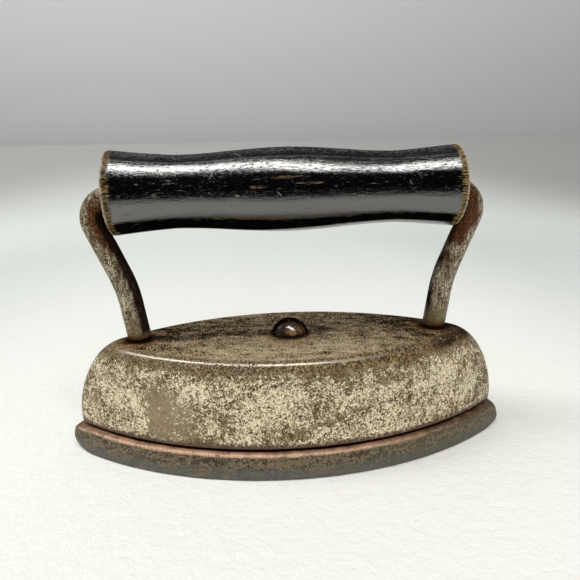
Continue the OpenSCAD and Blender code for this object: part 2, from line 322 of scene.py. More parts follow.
body_top_grain = 0.9 * mm
quarter = spread(0, pi / 2, 6)
core = bmesh.new()
sole_edge = [core_ring(sole_edge_r * (1 - sin(a)), sole_edge_r * (1 - cos(a))) for a in quarter]
ledge_edge = [
    core_ring(core_draft + ledge_edge_r * (1 - cos(a)), ledge_z - ledge_edge_r * (1 - sin(a)))
    for a in quarter
]
flank = [part_way(sole_edge[-1], ledge_edge[0], share) for share in spread(0, 1, 9)[1:-1]]
ledge_foot = body_ring(0, ledge_z)
ledge = [part_way(ledge_edge[-1], ledge_foot, share) for share in spread(0, 1, 5)[1:-1]]
core_rings = sole_edge + flank + ledge_edge + ledge
body_in = body_draft * (1 - body_edge_r / (body_top - ledge_z))
core_rings += [
    body_ring(body_in * share, ledge_z + (body_top - body_edge_r - ledge_z) * share)
    for share in spread(0, 1, 20)
]
core_rings += [
    body_ring(body_in + body_edge_r * (1 - cos(a)), body_top - body_edge_r * (1 - sin(a)))
    for a in quarter[1:]
]
lay_walls(core, core_rings)
lay_plate(core, core_rings[0])
lay_plate(core, core_rings[-1], [round_ring(0, pocket_r, body_top)], body_top_grain)
lay_walls(core, [round_ring(0, pocket_r, z) for z in spread(body_top, pocket_z, 6)])
lay_plate(core, round_ring(0, pocket_r, pocket_z), [round_ring(0, bore_r, pocket_z)])
lay_walls(core, [round_ring(0, bore_r, pocket_z - depth) for depth in (0, bore_depth)])
lay_plate(core, round_ring(0, bore_r, pocket_z - bore_depth))
weld(core)


def cast_skin(p):
    """Where the casting is left as it came from the sand: not the sole, the pocket or the bore."""
    drilled = p.z > ledge_z + ledge_edge_r and p.xy.length < pocket_r + hair
    return 0.0 if drilled else min(1.0, p.z / (2 * sole_edge_r))


# Both tips of the flange are knocked round from years of use, the left one mostly from below and
# the right one from above.
worn_from_x = 43 * mm
worn_from_z = 1.5 * mm
left_wear, right_wear = 0.55 * mm, 0.9 * mm
left_nose_z, right_nose_z = 3.6 * mm, 1.9 * mm
nose_half = 3.6 * mm
nose_in = 0.9 * mm
nose_lift = 0.8 * mm
for v in core.verts:
    side, tip_wear, nose_z = -1, left_wear, left_nose_z
    if v.co.x > 0:
        side, tip_wear, nose_z = 1, right_wear, right_nose_z
    near_tip = max(0, (abs(v.co.x) - worn_from_x) / (core_half_l - worn_from_x))
    off_nose = min(1, abs(v.co.z - nose_z) / nose_half)
    above_foot = max(0, (v.co.z - worn_from_z) / (ledge_z - worn_from_z))
    below_nose = max(0, 1 - v.co.z / nose_z)
    v.co.x -= side * nose_in * near_tip * off_nose ** 2
    v.co.z -= tip_wear * near_tip ** 2 * above_foot * (v.co.z < ledge_z + hair)
    v.co.z += nose_lift * near_tip ** 2 * below_nose
weather(core, 0.1 * mm, [1.1 * mm] * 3, cast_skin)
weather(core, 0.2 * mm, [7 * mm] * 3, lambda p: cast_skin(p) * (p.z < ledge_z + ledge_edge_r))

cast_dark = (0.036, 0.021, 0.009)
cast_grey = (0.2, 0.16, 0.1)
cast_blue = (0.098, 0.103, 0.094)
cast_rust = (0.125, 0.066, 0.03)
cast_olive = (0.12, 0.1, 0.06)
# The next colour is painted shade, laid on the ledge under the hood's rim.
painted_seam_shade = (0.03, 0.003, 0.002)
ledge_copper = (0.54, 0.31, 0.18)
ledge_brown = (0.2, 0.115, 0.065)
ledge_pale = (0.62, 0.47, 0.37)
ground_steel = (0.36, 0.33, 0.29)
iron = Finish("cast_iron")
grit = iron.clouds(0.5, 4, 0.75)
stains = iron.clouds(4, 4, 0.65, shift=5)
lumps = iron.clouds(1.3, 5, 0.7, stretch=(2.6, 2.6, 1), shift=9)
to_tip = iron.x.ragged(stains, 9)
tip_share = iron.most(to_tip.step(12, 36), to_tip.step(-38, -50))
on_ledge = iron.nz.step(0.15, 0.5) * iron.z.step(5.9, 5.5)
on_edge = iron.nz.step(0.3, 0.6) * iron.nz.step(0.95, 0.75)
on_sole = iron.nz.step(-0.8, -0.95)
low_down = iron.z.ragged(lumps, 2.5).step(3.2, 1.2)
skin_tone = grit * 0.6 + lumps * 0.4
copper = iron.coats(
    ledge_copper,
    (stains.step(0.4, 0.62), ledge_brown),
    (on_edge * grit.step(0.4, 0.6), ledge_pale),
    (grit.step(0.42, 0.3), ledge_brown),
    (tip_share * lumps.step(0.38, 0.5), cast_rust),
)
skin_colour = iron.coats(
    cast_dark,
    (skin_tone.step(0.45, 0.55), cast_grey),
    (lumps.step(0.54, 0.68).level(0, 0.6), cast_rust),
    (low_down * 0.72, cast_blue),
    (on_ledge, copper),
)
# Painted shade lies on the ledge close under the hood, inside two arcs that follow the hood's sides: the
# dark of the seam is painted into the colour.
shade_r = 69.45
shade_back = 52.25
from_arc = iron.add("CombineXYZ", {
    "X": iron.x, "Y": iron.sum("ABSOLUTE", iron.y) + shade_back,
}).outputs[0]
arc_length = iron.length(from_arc)
painted_shade_under_hood = arc_length.step(shade_r, shade_r - 0.25) * iron.z.step(2, 5)
painted_shade_under_hood *= iron.z.step(9, 5.6)
olive_skin = iron.stain(lumps, 0.4, 0.6, cast_olive, skin_colour)
skin_colour = iron.blend(iron.x.step(0, 30) * 0.5, skin_colour, olive_skin)
skin_colour = iron.blend(painted_shade_under_hood, skin_colour, painted_seam_shade)
scratches = iron.clouds(0.25, 3, 0.6, stretch=(30, 1, 1), shift=3)
sole_colour = iron.stain(scratches, 0.35, 0.65, ground_steel, cast_dark)
iron_colour = iron.blend(on_sole, skin_colour, sole_colour)
cast_core = make_piece(core, "cast_core", 40, iron.lay(
    iron_colour,
    grit.level(0.4, 0.65),
    grit + lumps + scratches * on_sole,
    0.07,
    Metallic=0.3,
))
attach(cast_core, "core")
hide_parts("sole_core")


# The catch post, a small steel block with a peg under it. The peg is pressed into the bore in the
# core's pocket, and the post's two chamfered flanks are what the spring clip grips.
post_half_x = 2.5 * mm
post_half_y = 3.5 * mm
post_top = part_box("catch_post")[1].z
post_chamfer = 0.6 * mm
post_corner_r = 0.25 * mm
peg_r = bore_r + 0.01 * mm
post_grain = 0.5 * mm
corner_steps = 5


def block_ring(half_x, half_y, r, z):
    """A level ring round a rectangle with rounded corners."""
    ring = []
    for turn, (side_x, side_y) in enumerate(((1, 1), (-1, 1), (-1, -1), (1, -1))):
        for a in spread(0, pi / 2, corner_steps):
            angle = a + turn * pi / 2
            ring.append(Vector((
                side_x * (half_x - r) + r * cos(angle),
                side_y * (half_y - r) + r * sin(angle),
                z,
            )))
    return ring


post = bmesh.new()
post_foot = block_ring(post_half_x, post_half_y, post_corner_r, pocket_z)
post_rings = [
    post_foot,
    block_ring(post_half_x, post_half_y, post_corner_r, post_top - post_chamfer),
    block_ring(post_half_x - post_chamfer * 0.9, post_half_y, post_corner_r, post_top - post_chamfer * 0.1),
    block_ring(post_half_x - post_chamfer, post_half_y - post_chamfer * 0.1, post_corner_r, post_top),
]
lay_walls(post, post_rings)
lay_plate(post, post_rings[-1], grain=post_grain)
lay_plate(post, post_foot, [round_ring(0, peg_r, pocket_z)], post_grain)
lay_walls(post, [round_ring(0, peg_r, pocket_z - depth) for depth in (0, bore_depth)])
lay_plate(post, round_ring(0, peg_r, pocket_z - bore_depth))
weld(post)

steel_bright = (0.42, 0.4, 0.36)
steel_dull = (0.2, 0.17, 0.14)
bright_steel = Finish("rubbed_steel")
rub = bright_steel.clouds(0.3, 4, 0.65, stretch=(1, 1, 8))
steel_stain = bright_steel.clouds(1.6, 4, 0.7, shift=4)
steel_post = make_piece(post, "steel_post", 30, bright_steel.lay(
    bright_steel.stain(steel_stain, 0.4, 0.65, steel_bright, steel_dull),
    rub.level(0.25, 0.5),
    rub,
    0.02,
    Metallic=0.9,
))
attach(steel_post, "core")
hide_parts("catch_post")


# The hood, drawn from sheet steel to cover the core. It has a small bend along its sides, long
# round ends and a tucked-in rim, and it was plated once. The plating is now worn off its top and
# broken into speckles on its sides.
hood_low, hood_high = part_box("hood_shell")
hood_top = hood_high.z
rim_z = hood_low.z
sheet = 0.8 * mm
hood_half_l = 45.6 * mm
hood_half_w = 17.8 * mm
hood_flare = 0.3 * mm
hood_tip_r = 2 * mm
top_tip_r = 3 * mm
side_bend = 2.6 * mm
end_bend = 10.4 * mm
tuck = 0.35 * mm
tuck_h = 2.4 * mm
rim_edge_r = 0.25 * mm
foot_x = 31.74 * mm
foot_hole_r = 1.7 * mm
rivet_hole_r = 1.6 * mm
hood_top_grain = 0.8 * mm


def come_in(share):
    """How far a quarter of an ellipse has come in at a share of its height."""
    return 1 - sqrt(max(0, 1 - share * share))


def hood_ring(inset, top, z):
    """The hood's outline at height z, drawn in by inset, under a ceiling at height top."""
    up = max(0, z - rim_z) / (top - rim_z)
    drawn_in = tuck * max(0, 1 - max(0, z - rim_z) / tuck_h) ** 2 + inset
    bend = side_bend - inset
    return pointed_oval(
        hood_half_l - drawn_in - end_bend * come_in(up),
        hood_half_w + up * hood_flare - drawn_in - bend * come_in(max(0, (z - top) / bend + 1)),
        hood_tip_r + up * (top_tip_r - hood_tip_r) - inset,
        z,
    )


def hood_skin(inset, top, first_z, steps):
    """The rings of one face of the sheet, from its rim up to the ceiling."""
    bend = side_bend - inset
    walls = [hood_ring(inset, top, z) for z in spread(first_z, top - bend, steps)]
    return walls + [hood_ring(inset, top, top - bend + bend * sin(a)) for a in spread(0, pi / 2, 10)[1:]]


def fixing_holes(z):
    """The rings of the two foot holes and the rivet hole at height z."""
    holes = ((-foot_x, foot_hole_r), (0, rivet_hole_r), (foot_x, foot_hole_r))
    return [round_ring(x, r, z) for x, r in holes]


def line_holes(bm, low, high, coat=0):
    """Walls inside the three holes, from height low to height high."""
    for low_hole, high_hole in zip(fixing_holes(low), fixing_holes(high)):
        lay_walls(bm, [low_hole, high_hole], coat)


ceiling = hood_top - sheet
hood = bmesh.new()
outer_skin = hood_skin(0, hood_top, rim_z + rim_edge_r, 30)
inner_skin = hood_skin(sheet, ceiling, rim_z + rim_edge_r, 16)
rim = [
    hood_ring(rim_edge_r * (1 - cos(a)), hood_top, rim_z + rim_edge_r * (1 - sin(a)))
    for a in spread(0, pi / 2, 3)[1:]
]
rim.append(hood_ring(sheet, hood_top, rim_z))
lay_walls(hood, rim[::-1] + outer_skin)
lay_walls(hood, [rim[-1]] + inner_skin, coat=1)
lay_plate(hood, outer_skin[-1], fixing_holes(hood_top), hood_top_grain)
lay_plate(hood, inner_skin[-1], fixing_holes(ceiling), coat=1)
line_holes(hood, ceiling, hood_top, coat=1)
weld(hood)
dent_z = 1.5 * mm


def above_rim(p):
    """All of the hood but its rim, which is left true so that it seats on the flange."""
    return min(1.0, max(0.0, (p.z - rim_z - rim_edge_r) / dent_z))


weather(hood, 0.05 * mm, [9 * mm] * 3, above_rim)

plate_cream = (0.89, 0.785, 0.55)
plate_grey = (0.56, 0.49, 0.34)
bare_brown = (0.2, 0.14, 0.07)
bare_dark = (0.045, 0.024, 0.007)
bare_tan = (0.31, 0.24, 0.155)
patina_light = (0.31, 0.235, 0.136)
patina_dark = (0.055, 0.034, 0.011)
patina_black = (0.013, 0.006, 0.0015)
patina_pale = (0.48, 0.4, 0.26)
bend_orange = (0.19, 0.1, 0.022)
bend_brown = (0.12, 0.08, 0.04)
bend_bright = (0.42, 0.37, 0.29)
bend_light = (0.44, 0.35, 0.22)
# The next colour is dark rust, also used as painted shade round the feet and the rivet.
rust_and_shade_dark = (0.04, 0.018, 0.008)
rust_black = (0.022, 0.012, 0.005)
rust_orange = (0.2, 0.1, 0.04)
rim_purple = (0.1, 0.06, 0.05)
# Places on the front where the plating is worn thin, as middle and reach along X and Z, in mm.
bare_patches = [
    ((-26.5, 13), (5, 9)), ((-20, 8), (5, 4)), ((6, 11), (4, 2)), ((-1, 8.5), (5, 1.5)), ((18, 18), (5, 2)),
]
# Places where more of it is left.
sound_patches = [
    ((-36, 12), (7, 7)), ((-8, 12), (9, 7)), ((16, 10), (8, 5)), ((29, 14), (9, 8)), ((41, 14), (6, 8)),
    ((-4, 17), (12, 2.5)),
]
front_y = -14
front_reach = 12
plating = Finish("worn_plating")
on_top = plating.nz.step(0.9, 0.985)
fine = plating.clouds(0.34, 4, 0.8, warp=0.7)
coarse = plating.clouds(0.85, 4, 0.7, warp=0.5, shift=11)
bend_z = plating.z.ragged(coarse, 1.1)
off_side = bend_z.step(21.1, 22.1)
on_side = 1.0 - off_side
broad = plating.clouds(5, 3, 0.6, warp=0.6, shift=2)
# The sides keep their plating in speckles over brown steel.
cover = broad.level(-0.13, 0.13)
for patches, thicker in ((bare_patches, -0.075), (sound_patches, 0.04)):
    for (x, z), (reach_x, reach_z) in patches:
        cover += plating.near((x, front_y, z), (reach_x, front_reach, reach_z)) * thicker
cover -= plating.z.step(7.6, 5.8) * 0.07
cover -= plating.z.step(19, 22) * 0.07
speckle = fine * 0.6 + coarse * 0.4
worn_share = speckle + cover
plated = worn_share.step(0.485, 0.545) * on_side
tan_share = plating.clouds(2.4, 5, 0.7, shift=21).step(0.44, 0.6)
tan_share *= fine.step(0.4, 0.58).level(0.3, 1)
spots = plating.clouds(1.1, 5, 0.75, shift=61)
smooth_patch = plating.near((-25.5, front_y, 12), (8, front_reach, 8), 0.4)
# Darker and purple-brown along the lowest part of the sides, above the rim.
rim_darkening = plating.z.ragged(coarse, 1.6).step(7.5, 6.1)
side_colour = plating.coats(
    bare_dark,
    (fine.step(0.42, 0.53), bare_brown),
    (tan_share, bare_tan),
    (spots.step(0.43, 0.37), bare_dark),
    (smooth_patch * 0.6, bare_tan),
    (plated, plating.stain(fine, 0.46, 0.55, plate_grey, plate_cream)),
    (rim_darkening * 0.8, rim_purple),
)
# The top has lost its plating, and is mottled black and brown.
soot = plating.clouds(2.6, 6, 0.75, stretch=(1.6, 1, 1), shift=31)
mottle = plating.clouds(0.27, 4, 0.8, stretch=(1, 3.6, 1), shift=41)
dirt_and_shade = mottle.ragged(soot, 0.32)
# Painted shade: the top is made lighter at the front and darker towards the back, where the grip's shadow
# falls.
dirt_and_shade += plating.y.step(-12, 6).level(0.05, -0.03)
to_end = plating.sum("ABSOLUTE", plating.x).step(10, 36)
dirt_and_shade -= to_end * 0.075
dirt_and_shade -= plating.x.step(14, 30) * 0.035
black_dirt_and_shade = dirt_and_shade + 0.22 - mottle * 0.45
top_colour = plating.coats(
    patina_dark,
    (dirt_and_shade.step(0.4, 0.56), patina_light),
    (black_dirt_and_shade.step(0.46, 0.38), patina_black),
    (dirt_and_shade.step(0.57, 0.65), patina_pale),
)
# The bend between them is rubbed bright along its edge.
bend_tone = plating.clouds(1.6, 5, 0.75, stretch=(1.8, 1, 1), shift=51).step(0.4, 0.6)
orange_share = bend_tone * plating.x.step(-12, 18)
bend_dirt = spots.step(0.48, 0.42) * plating.x.step(-30, 20)
right_end = plating.near((37.5, -7.5, 22.4), (12, 10, 2.4), 0.5)
right_end *= coarse.step(0.38, 0.47)
edge_inset = plating.x.step(-24, -6).level(0.045, 0.0)
edge_low = (plating.nz - edge_inset).step(0.64, 0.71)
edge_share = edge_low * plating.nz.step(0.83, 0.77)
rubbed_edge = fine + plating.x.step(10, 24).level(0.05, -0.16)
rubbed_edge -= plating.near((-12, -17, 22.6), (13, 9, 6)) * 0.1
edge_share *= plating.x.step(-37, -33)
edge_share *= rubbed_edge.step(0.4, 0.5)
bend_colour = plating.coats(
    bend_brown,
    (orange_share, bend_orange),
    (fine.step(0.52, 0.6), bend_light),
    (fine.step(0.49, 0.4), patina_black),
    (bend_dirt * 0.8, patina_black),
    (right_end, rust_black),
    (edge_share, bend_bright),
)
hood_colour = plating.coats(side_colour, (off_side, bend_colour), (on_top, top_colour))
# Rust and black grease lie about the two feet and the rivet. The dark rings close round them are partly
# painted shade, where they stand on the hood.
top_z = hood_top / mm
skin_reach = 3
foot_list = [(-foot_x / mm, 0, 7, 0.9), (foot_x / mm, 0, 7, 0.8), (0, -3.5, 7, 0.45)]
for x, y, reach, halo_share in foot_list:
    halo = plating.near((x, y, top_z), (reach, reach, skin_reach), 0.5)
    halo *= soot.step(0.35, 0.6).level(0.0, halo_share)
    ring = plating.near((x, y / 2, top_z), (reach * 0.62, reach * 0.62, skin_reach), 0.6)
    ring *= soot.step(0.62, 0.5)
    foot_grease_and_shade = plating.near((x, y / 6, top_z), (reach * 0.54, reach * 0.54, skin_reach), 0.78)
    foot_coats = (halo, rust_orange), (ring, rust_and_shade_dark), (foot_grease_and_shade, patina_black)
    hood_colour = plating.coats(hood_colour, *foot_coats)
# Old grease has run away from each foot and from the rivet.
run_list = [(-26, 0, 6.5, 2.8), (-14, 0.8, 13, 2.4), (-6, 0.6, 5, 3), (6.5, 1, 5.5, 3), (37, -1, 4.5, 3.5)]
run_share = 0.0
for x, y, reach_x, reach_y in run_list:
    run = plating.near((x, y, top_z), (reach_x, reach_y, skin_reach), 0.3)
    run_share = plating.most(run * mottle.step(0.68, 0.55), run_share)
run_share *= soot.step(0.64, 0.46).level(0.45, 0.95)
# A dark ring round the base of the rivet, partly painted shade.
rivet_foot = plating.near((0, -0.6, top_z), (4.9, 4.7, skin_reach), 0.85)
hood_colour = plating.coats(hood_colour, (run_share, patina_black), (rivet_foot * 0.9, rust_and_shade_dark))
# What is left of the plating shines a little, and grease is dull.
hood_rough = plated.level(0.55, 0.42)
hood_rough += fine.step(0.4, 0.65) * 0.1
hood_rough -= edge_share * 0.38
hood_height = speckle + plated * 0.4
greasy = plating.most(dirt_and_shade.step(0.55, 0.46), run_share)
greasy = plating.most(greasy, rivet_foot) * on_top
hood_metal = plated.level(0.04, 0.18) + edge_share * 0.45
hood_metal *= greasy.level(1, 0)
hood_shine = plating.most(plated.level(0.12, 0.36), edge_share * 0.4)
hood_shine *= greasy.level(1, 0.05)
hood_outside = plating.lay(
    hood_colour, hood_rough, hood_height, 0.04, Metallic=hood_metal, Specular_IOR_Level=hood_shine
)

soot_brown = (0.07, 0.055, 0.042)
soot_grey = (0.2, 0.16, 0.12)
inside = Finish("sooty_steel")
smoke = inside.clouds(3, 5, 0.7)
hood_inside = inside.lay(
    inside.stain(smoke, 0.35, 0.65, soot_brown, soot_grey),
    smoke.level(0.5, 0.7),
    inside.clouds(0.5, 4, 0.7),
    0.03,
    Metallic=0.5,
)
plated_hood = make_piece(hood, "plated_hood", 42, hood_outside, hood_inside)
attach(plated_hood, "hood")
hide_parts("hood_shell")


# The insulating board, a pad of pressed fibre under the hood's top. It keeps the core's heat from
# the hood and the handle, and it is cut by hand, with a rough edge.
board_low, board_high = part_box("insulating_board")
lining_gap = 0.3 * mm
lining = sheet + lining_gap
flat_grain = 1.5 * mm


def cut_flat(low, high, rings):
    """A flat piece from height low to height high, with the three fixing holes cut through it."""
    bm = bmesh.new()
    lay_walls(bm, rings)
    lay_plate(bm, rings[0], fixing_holes(low), flat_grain)
    lay_plate(bm, rings[-1], fixing_holes(high), flat_grain)
    line_holes(bm, low, high)
    weld(bm)
    return bm


def cut_edge(p):
    """The board's rough edge, between its two faces."""
    return float(board_low.z + hair < p.z < board_high.z - hair)


board = cut_flat(board_low.z, board_high.z, [
    hood_ring(lining, ceiling, board_low.z + (board_high.z - board_low.z) * sin(a))
    for a in spread(0, pi / 2, 6)
])
weather(board, 0.15 * mm, [0.9 * mm] * 3, cut_edge)

fibre_buff = (0.62, 0.57, 0.46)
fibre_pale = (0.8, 0.77, 0.68)
fibre_scorched = (0.35, 0.26, 0.16)
fibre = Finish("pressed_fibre")
strands = fibre.clouds(0.8, 5, 0.75, stretch=(2.5, 1, 1))
scorch = fibre.clouds(8, 4, 0.6, shift=6)
fibre_board = make_piece(board, "fibre_board", 40, fibre.lay(
    fibre.stain(scorch, 0.4, 0.65, fibre.blend(strands, fibre_buff, fibre_pale), fibre_scorched),
    strands.level(0.8, 0.95),
    strands,
    0.12,
))
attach(fibre_board, "hood")
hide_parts("insulating_board")


# The liner plate, a flat steel stamping under the board. The handle rod's feet and the rivet pull
# against it, because board alone is too soft to hold them.
liner_low, liner_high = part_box("liner_plate")
liner_edge = 0.12 * mm
liner_outline = hood_ring(lining, ceiling, liner_high.z)


def liner_ring(inset, z):
    """The liner's outline at height z, drawn in by inset."""
    return [Vector((p.x, p.y, z)) - Vector((p.x, p.y, 0)).normalized() * inset for p in liner_outline]


liner = cut_flat(liner_low.z, liner_high.z, [
    liner_ring(liner_edge, liner_low.z),
    liner_ring(0, liner_low.z + liner_edge),
    liner_ring(0, liner_high.z - liner_edge),
    liner_ring(liner_edge, liner_high.z),
])

mill_dark = (0.2, 0.19, 0.18)
mill_pale = (0.33, 0.31, 0.28)
mill_rust = (0.2, 0.1, 0.05)
mill_steel = Finish("mill_steel")
rolling = mill_steel.clouds(0.3, 3, 0.6, stretch=(20, 1, 1))
bloom = mill_steel.clouds(5, 5, 0.7, shift=8)
liner_sheet = make_piece(liner, "liner_sheet", 30, mill_steel.lay(
    mill_steel.stain(bloom, 0.45, 0.65, mill_steel.blend(rolling, mill_dark, mill_pale), mill_rust),
    bloom.level(0.35, 0.65),
    rolling + bloom,
    0.025,
    Metallic=0.75,
))
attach(liner_sheet, "hood")
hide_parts("liner_plate")


# The grip, turned from a close-grained wood with two slight necks, and painted black before it went
# on the rod. The paint is glossy but rubbed through in flecks along the grain, and it has worn off
# both end rims.
grip_low, grip_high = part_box("wood_grip")
axis_z = (grip_low.z + grip_high.z) / 2
grip_half = grip_high.x
grip_mid_r = 8.4 * mm
grip_end_r = 8.4 * mm
neck_r = 7.25 * mm
neck_x = 22 * mm
rim_r = 0.5 * mm
flare_power = 1.3
grip_bore_r = 3.18 * mm
mouth = 0.5 * mm
turning_steps = 144


def grip_radius(x):
    """The grip's radius at a place along it, with a swell in the middle and at both ends."""
    if abs(x) < neck_x:
        return neck_r + (grip_mid_r - neck_r) * (1 + cos(pi * x / neck_x)) / 2
    return neck_r + (grip_end_r - neck_r) * ((abs(x) - neck_x) / (grip_half - neck_x)) ** flare_power


def turned_ring(x, r):
    """A circle of points round the grip's axis."""
    return [Vector((x, r * cos(a), axis_z + r * sin(a))) for a in spread(0, 2 * pi, turning_steps)[:-1]]


shoulder_x = grip_half - rim_r
shoulder_r = grip_radius(shoulder_x) - rim_r
right_end = [(shoulder_x + rim_r * sin(a), shoulder_r + rim_r * cos(a)) for a in spread(0, pi / 2, 8)[1:]]
right_end += [(grip_half, r) for r in spread(shoulder_r, grip_bore_r + mouth, 5)[1:]]
right_end += [(grip_half - mouth, grip_bore_r)]
profile = [(x, grip_radius(x)) for x in spread(-shoulder_x, shoulder_x, 150)] + right_end
profile += [(x, grip_bore_r) for x in spread(shoulder_x, -shoulder_x, 12)[1:-1]]
profile += [(-x, r) for x, r in right_end[::-1]]
grip = bmesh.new()
lay_walls(grip, [turned_ring(x, r) for x, r in profile], closed=True)
weld(grip)


def turned_side(p):
    """The grip's outside, apart from its bore and the bore's mouths."""
    return float(sqrt(p.y ** 2 + (p.z - axis_z) ** 2) > grip_bore_r + 2 * mouth)


def worn_rim(p):
    """The two end rims, where the wood is nicked along the grain."""
    return turned_side(p) * min(1, max(0, (abs(p.x) - shoulder_x + 3 * rim_r) / (4 * rim_r)))


weather(grip, 0.04 * mm, (6 * mm, 0.5 * mm, 0.5 * mm), turned_side)
weather(grip, 0.14 * mm, (9 * mm, 0.35 * mm, 0.35 * mm), worn_rim)

paint_black = (0.0015, 0.0015, 0.002)
wood_tan = (0.23, 0.15, 0.058)
wood_dark = (0.014, 0.007, 0.003)
wood_pale = (0.62, 0.54, 0.42)
fleck_grey = (0.22, 0.22, 0.225)
fleck_tan = (0.2, 0.14, 0.08)
streak_tan = (0.17, 0.11, 0.06)
# Scratches across the paint: place along the grip, degrees forward of its top, length and slant.
scratch_list = [
    (-9.5, 30, 3, 55), (-14.5, 63, 3.4, -65), (-2, 93, 1.5, 40), (27.5, 45, 2.6, 25), (23.5, 82, 1.4, 65),
    (3, 200, 3, 30), (-20, 250, 2.5, -50), (15, 285, 3, 60),
]
# Worn tan streaks along the grain: place along the grip, degrees forward of its top, and length.
streak_list = [(-1, 72, 9), (4, 80, 6), (-6, 84, 5), (33, 78, 1.2), (-31, 118, 4), (12, 150, 8)]
paint = Finish("rubbed_paint")
up = paint.z - axis_z / mm
ahead = paint.y * -1.0
turn = paint.sum("ARCTAN2", ahead, up)
from_axis = paint.sum("SQRT", paint.y * paint.y + up * up)
flecks = paint.clouds(0.2, 3, 0.8, stretch=(3.5, 1, 1))
long_flecks = paint.clouds(0.26, 3, 0.75, stretch=(10, 1, 1), shift=14)
rubbed = paint.clouds(4, 4, 0.65, stretch=(2.2, 1, 1), shift=4)
lean = paint.sum("DIVIDE", up, from_axis)
rub_share = lean.step(0.7, 0.8).level(0, 0.06).ragged(rubbed, 0.12)
bare = (flecks + rub_share).step(0.645, 0.7)
bare_long = (long_flecks + rubbed.level(-0.1, 0.12)).step(0.65, 0.72)
bare = paint.most(bare * 0.7, bare_long * 0.8)


def mark(x, degrees_on, length, width, slant):
    """1 along a short mark on the grip's round side, and 0 off it."""
    off = turn - ((radians(degrees_on + 180) % (2 * pi)) - pi)
    flat = paint.add("CombineXYZ", {
        "X": paint.x - x, "Y": off * (grip_mid_r / mm),
    }).outputs[0]
    turned = paint.add("Mapping", {
        "Vector": flat, "Rotation": (0, 0, radians(slant)), "Scale": (length / 2, width / 2, 1),
    }, vector_type="TEXTURE").outputs[0]
    return paint.length(turned).step(1, 0.5)


for x, degrees_on, length, slant in scratch_list:
    bare = paint.most(bare, mark(x, degrees_on, length, 0.22, slant) * 0.85)
worn_tan = 0.0
for x, degrees_on, length in streak_list:
    worn_tan = paint.most(mark(x, degrees_on, length, 0.8, 0), worn_tan)
worn_tan *= long_flecks.step(0.5, 0.58)
# The bare wood at both end rims, dark where the grain runs out.
ring_place = paint.add("CombineXYZ", {
    "X": turn * 22, "Y": paint.x * 0.3, "Z": up,
}).outputs[0]
ticks = paint.pattern("TexNoise", {"Vector": ring_place, "Scale": 1.6, "Detail": 3, "Roughness": 0.7})
end_gap = grip_half / mm - paint.sum("ABSOLUTE", paint.x)
rim_edge = end_gap.ragged(ticks, 1.2)
rim_edge = rim_edge.ragged(rubbed, 0.8)
on_rim = rim_edge.step(1.75, 1.2)
on_face = from_axis.step(8, 7.3) * end_gap.step(0.6, 0.2)
end_grain = paint.clouds(0.3, 4, 0.7, stretch=(1, 7, 1), shift=33)
dark_grain = on_face.level(ticks.step(0.47, 0.52), end_grain.step(0.42, 0.62))
nicked = end_gap.step(0.75, 0.15) * flecks.step(0.4, 0.53)
nicked *= from_axis.step(7.2, 8.1)
left_rim = paint.x.step(0, -5) * rubbed.step(0.4, 0.6).level(0.05, 0.45)
wood = paint.coats(
    wood_tan,
    (dark_grain, wood_dark),
    (paint.clouds(0.8, 4, 0.7, shift=7).step(0.5, 0.7), wood_dark),
    (nicked, wood_pale),
    (left_rim, wood_dark),
)
frayed = lean.ragged(long_flecks, 0.09)
# Painted shade: along the grip's underside the pale flecks are dimmed and the paint is made dull, so that
# the underside stays dark.
under_end = paint.x.step(-12, 6).level(-0.99, -0.9)
under_grip_shade = lean.step(under_end, under_end + 0.04)
under_grip_shade *= frayed.step(-0.6, -0.68)
tan_share = paint.clouds(1.8, 3, 0.6, shift=17).step(0.42, 0.6)
fleck_colour = paint.blend(tan_share * lean.step(0.8, 0.6), fleck_grey, fleck_tan)
grip_colour = paint.coats(
    paint_black,
    (bare * under_grip_shade.level(1, 0.3), fleck_colour),
    (worn_tan, streak_tan),
    (on_rim, wood),
)
# The paint shines, but not where it is worn or brushed thin, nor along the underside, which is made dull as
# painted shade.
dashes = paint.clouds(0.24, 3, 0.8, stretch=(5, 1, 1), shift=27)
over_grip = lean.step(0.74, 0.8) * flecks.step(0.42, 0.48)
grip_rough = flecks.step(0.38, 0.62).level(0.05, 0.13)
over_half = lean.step(-0.1, 0.15)
dry_strokes = over_half * dashes.step(0.54, 0.6)
dull = paint.most(bare, on_rim * 0.85, worn_tan, dry_strokes, under_grip_shade, over_grip)
grip_rough = dull.level(grip_rough, 0.85)
dark_band = lean.step(-0.02, 0.08) * lean.step(0.46, 0.36)
grip_shine = over_half.level(0.43, 0.8) - dark_band * 0.72
grip_shine *= dull.level(1, 0)
brush_lines = paint.clouds(0.22, 3, 0.75, stretch=(7, 1, 1), shift=2)
grip_height = brush_lines + dashes - bare * 0.8
turned_grip = make_piece(grip, "turned_grip", 50, paint.lay(
    grip_colour,
    grip_rough,
    grip_height,
    0.024,
    IOR=2.4,
    Specular_IOR_Level=grip_shine,
))
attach(turned_grip, "grip")
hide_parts("wood_grip")


# The handle rod, one length of round steel. It is pushed through the grip, bent down tightly at
# both ends and eased in above the hood. Its shouldered feet go through the hood, the board and
# the liner plate, and are peened over underneath.
rod_r = 2.4 * mm
crook_r = 4.2 * mm
bow_half = grip_half + 0.15 * mm
bow_rise = 1.4 * mm
knee_x = 33.4 * mm
knee_z = hood_top + 11.1 * mm
knee_r = 26 * mm
lower_lean = radians(8.5)
tenon_r = 1.6 * mm
peen_r = 2.7 * mm
peen_h = 1.1 * mm
peened_flat_share = 0.7
foot_margin = 0.4 * mm
rod_sides = 40
rod_step = 0.45 * mm


